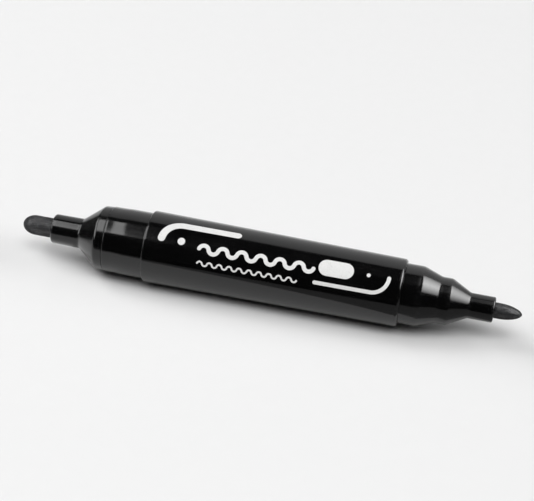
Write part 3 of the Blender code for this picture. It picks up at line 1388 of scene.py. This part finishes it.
@dataclass(frozen=True)
class Softbox(Panel):
    """An even lamp.

    Attributes:
        mirrored: Whether gloss shows it.
    """

    mirrored: bool = False

    def build(self) -> None:
        """Add the lamp to the scene."""
        lamp = bpy.data.lights.new(self.name, "AREA")
        lamp.shape = "RECTANGLE"
        lamp.size, lamp.size_y = self.size
        lamp.energy = math.pi * self.glow * self.size[0] * self.size[1]
        self.put(lamp).visible_glossy = self.mirrored


@dataclass(frozen=True)
class GlossCard(Panel):
    """A card that shows only in gloss: even, or brighter towards a hot spot; one with no glow is black.

    Attributes:
        fades: Whether the card fades out round its hot spot.
        hot: How much brighter the hot spot is, as a multiple of the glow.
        hot_place: Place of the hot spot along the sides, in metres from the middle.
        hot_reach: How far the hot spot spreads along each side, in metres.
    """

    fades: bool = False
    hot: float = 0.0
    hot_place: Pair = (0.0, 0.0)
    hot_reach: Pair = (1.0, 1.0)

    def build(self) -> None:
        """Add the card to the scene."""
        mesh = bmesh.new()
        bmesh.ops.create_grid(mesh, x_segments=1, y_segments=1, size=0.5)
        bmesh.ops.scale(mesh, verts=mesh.verts[:], vec=(*self.size, 1.0))
        data = mesh_data(self.name, mesh)
        data.materials.append(self._material())
        card = self.put(data)
        card.visible_diffuse = False
        card.visible_transmission = False
        card.visible_shadow = False

    def _material(self) -> Material:
        """Build the glow of the card, which is left out of the sampled lamps.

        Returns:
            Its material.
        """
        material = bpy.data.materials.new(self.name)
        material.use_nodes = True
        material.cycles.emission_sampling = "NONE"
        graph = Graph(material.node_tree)
        scale = [1.0 / reach for reach in self.hot_reach]
        start = [-place / reach for place, reach in zip(self.hot_place, self.hot_reach)]
        spot = graph.add("Mapping", Location=(*start, 0.0), Scale=(*scale, 0.0))
        slope = graph.add("TexGradient", gradient_type="SPHERICAL")
        graph.link(graph.place(), spot.inputs["Vector"])
        graph.link(spot.outputs[0], slope.inputs["Vector"])
        heat = graph.math("MULTIPLY", slope.outputs["Fac"], self.hot * self.glow)
        shine = graph.add("Emission")
        graph.link(graph.math("ADD", heat, self.glow), shine.inputs["Strength"])
        surface = shine
        if self.fades:
            surface = graph.add("MixShader")
            graph.link(slope.outputs["Fac"], surface.inputs[0])
            graph.link(graph.add("BsdfTransparent").outputs[0], surface.inputs[1])
            graph.link(shine.outputs[0], surface.inputs[2])
        graph.link(surface.outputs[0], material.node_tree.nodes["Material Output"].inputs["Surface"])
        return material


@dataclass(frozen=True)
class Studio:
    """The floor, lamps, surroundings and camera.

    Attributes:
        floor_radius: Radius of the floor, in metres.
        floor_sides: Sides of the floor.
        ambient: Brightness of the even light all round, where 1 is white.
        right_box: Middle, facing, first side and size of the right lamp and of the card in its place.
        camera_place: Place of the camera.
        camera_right: Direction to the right of its picture.
        camera_up: Direction to the top of its picture.
        focal_pixels: Focal length, in pixels of the picture.
        image_width: Width of the picture, in pixels.
        sensor: Width of the sensor.
        nearest: Distance at which the camera starts to see, in metres.
    """

    floor_radius: float = 6.0
    floor_sides: int = 96
    ambient: float = 0.015
    right_box: tuple[Triple, Triple, Triple, Pair] = (
        (1.74, 0.23, 1.66), (-0.708, -0.212, -0.673), (-0.287, 0.958, 0), (2.9, 1.56)
    )
    camera_place: Triple = (51.59, -263.44, 214.32)
    camera_right: Triple = (0.97353913, 0.22067955, 0.05934734)
    camera_up: Triple = (-0.17915472, 0.57582394, 0.79770319)
    focal_pixels: float = 1450.0
    image_width: float = 534.0
    sensor: float = 36.0
    nearest: float = 0.01

    def build(self, paper: Material) -> None:
        """Set up everything round the marker.

        Args:
            paper: Finish of the floor.
        """
        self._floor(paper)
        for panel in [*self._lamps(), *self._cards()]:
            panel.build()
        self._surroundings()
        self._camera()

    def _floor(self, paper: Material) -> None:
        """Lay the floor that the marker rests on.

        Args:
            paper: Its finish.
        """
        mesh = bmesh.new()
        bmesh.ops.create_circle(mesh, cap_ends=True, segments=self.floor_sides, radius=self.floor_radius)
        data = mesh_data("floor", mesh)
        data.materials.append(paper)
        floor = bpy.data.objects.new("floor", data)
        bpy.context.scene.collection.objects.link(floor)

    def _lamps(self) -> list[Softbox]:
        """Describe the lamps.

        Returns:
            One that shows in gloss over the bold end, and soft ones all round.
        """
        return [
            Softbox("left_box", (-1.16, -0.41, 2.2), DOWN, ALONG, (0.98, 1.91), 4.1, mirrored=True),
            Softbox("right_soft", *self.right_box, 1.4),
            Softbox("left_soft", (-1.9, 0.35, 1.6), (0.76, -0.14, -0.64), (0.18, 0.98, 0), (1.2, 1.2), 4.6),
            Softbox("top_soft", (0.5, -0.9, 2.4), (-0.19, 0.34, -0.92), ALONG, (1.6, 1.2), 2.9),
            Softbox("front_soft", (-0.3, -1.6, 2.9), (0.09, 0.48, -0.87), ALONG, (3.0, 1.8), 2.2),
        ]

    def _cards(self) -> list[GlossCard]:
        """Describe the cards that show only in gloss.

        Returns:
            Bright ones past both ends, dim ones behind and above, and three on the floor that are painted
            reflections: a painted bright patch of floor, a painted grey stretch and a painted black stretch,
            seen only in gloss.
        """
        return [
            GlossCard(
                "right_card", *self.right_box, 3.1, hot=3.3, hot_place=(0.13, 0.47), hot_reach=(1.45, 1.56)
            ),
            GlossCard(
                "back_card", (0.0, 3.0, 2.6), FORWARD, ALONG, (6.0, 5.2), 0.6,
                hot=0.6, hot_place=(0.4, 0.0), hot_reach=(2.2, 5.0),
            ),
            GlossCard("top_card", (0.245, 0.2, 2.2), DOWN, ALONG, (0.42, 1.4), 0.9),
            GlossCard(
                "left_card", (-2.2, -0.27, 1.18), (0.88, 0.11, -0.46), (0.124, -0.992, 0), (3.0, 1.1), 4.0
            ),
            # painted reflections of the floor, in gloss only: a bright patch near the bold end, a grey
            # stretch to the front right and a black stretch far in front
            GlossCard(
                "white_card", (-0.097, 0.025, 0.0003), UP, ALONG, (0.106, 0.07), 1.9,
                fades=True, hot_place=(0.036, 0.023), hot_reach=(0.026, 0.014),
            ),
            GlossCard("grey_card", (0.143, -0.297, 0.0002), UP, (0.883, 0.469, 0), (0.6, 0.6), 0.28),
            GlossCard("black_card", (0.0, -1.575, 0.0004), UP, ALONG, (3.0, 3.0), 0.0),
        ]

    def _surroundings(self) -> None:
        """Set a dim even level all round and plain view settings."""
        scene = bpy.context.scene
        world = bpy.data.worlds.new("studio")
        world.use_nodes = True
        sky = world.node_tree.nodes["Background"]
        sky.inputs["Color"].default_value = (1.0, 1.0, 1.0, 1.0)
        sky.inputs["Strength"].default_value = self.ambient
        scene.world = world
        scene.view_settings.view_transform = "Standard"

    def _camera(self) -> None:
        """Set the camera where the photograph was taken."""
        lens = bpy.data.cameras.new("camera")
        lens.sensor_width = self.sensor
        lens.lens = self.sensor * self.focal_pixels / self.image_width
        lens.clip_start = self.nearest
        camera = bpy.data.objects.new("camera", lens)
        right, up = Vector(self.camera_right), Vector(self.camera_up)
        turn = Matrix((right, up, right.cross(up))).transposed().to_4x4()
        camera.matrix_world = Matrix.Translation(Vector(self.camera_place) * MM) @ turn
        bpy.context.scene.collection.objects.link(camera)
        bpy.context.scene.camera = camera


def clear_startup() -> None:
    """Remove what Blender's startup scene holds."""
    for leftover in list(bpy.data.objects):
        bpy.data.objects.remove(leftover, do_unlink=True)


def build_caps(lathe: Lathe) -> None:
    """Build both caps where they lie.

    Args:
        lathe: The lathe on the marker's axis.
    """
    plastic = MouldedPlastic("gloss_black_cap", roughness=0.11, haze=0.06, wear=0.35).material()
    seal = MouldedPlastic(
        "soft_white_liner", colour=(0.76, 0.76, 0.74), worn=(0.62, 0.61, 0.58),
        roughness=0.42, haze=0.1, wear=0.3,
    ).material()
    Cap(
        Body.BOLD_CAP, Way.BOLD, mouth=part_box("bold_cap")[1].x / MM - lathe.zero, mouth_radius=8.5,
        lip_radius=8.0, lip_depth=12.3, narrow_depth=13.52, bore=7.0, depth=33.8,
        liner_bore=3.71, liner_lip=19.05,
    ).build(lathe, plastic, seal)
    Cap(
        Body.FINE_CAP, Way.FINE, mouth=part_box("fine_cap")[0].x / MM - lathe.zero, mouth_radius=7.9,
        lip_radius=7.15, lip_depth=4.5, narrow_depth=6.55, bore=6.4, depth=29.95,
        liner_bore=3.12, liner_lip=17.75,
    ).build(lathe, plastic, seal)


def build_marker(lathe: Lathe) -> None:
    """Build the marker itself.

    Args:
        lathe: The lathe on the marker's axis.
    """
    barrel = Barrel()
    barrel.build(lathe, MouldedPlastic("gloss_black_barrel").material())
    Print().build(lathe, barrel, PrintInk("white_ink").material())
    holder = MouldedPlastic("gloss_black_holder", roughness=0.14, wear=0.3).material()
    BoldHolder().build(lathe, holder)
    FineHolder().build(lathe, holder)
    felt = BondedFibre("inked_felt").material()
    Nib("bold_nib", Way.BOLD, radius=2.35, tip=-31.3, tail=3.4, point=3.2, sharpness=0.5).build(lathe, felt)
    Nib("fine_nib", Way.FINE, radius=1.82, tip=87.75, tail=46.1, point=5.2, sharpness=0.56).build(lathe, felt)
    core = BondedFibre(
        "inked_core", colour=(0.015, 0.015, 0.017), fibre=(0.07, 0.07, 0.075), sheen=0.1
    ).material()
    film = MouldedPlastic(
        "pale_film", colour=(0.70, 0.72, 0.73), worn=(0.80, 0.81, 0.82),
        roughness=0.22, haze=0.1, wear=0.2,
    ).material()
    InkStore().build(lathe, core, film)


def main() -> None:
    """Load the frame, build the marker, its caps and the studio."""
    logging.basicConfig(level=logging.INFO, format="%(name)s: %(message)s")
    clear_startup()
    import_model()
    low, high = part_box("barrel")
    lathe = Lathe(zero=high.x / MM - Barrel.length, height=(low.z + high.z) / 2 / MM)
    build_marker(lathe)
    build_caps(lathe)
    Studio().build(StudioFloor("pale_paper").material())


if __name__ == "__main__":
    main()
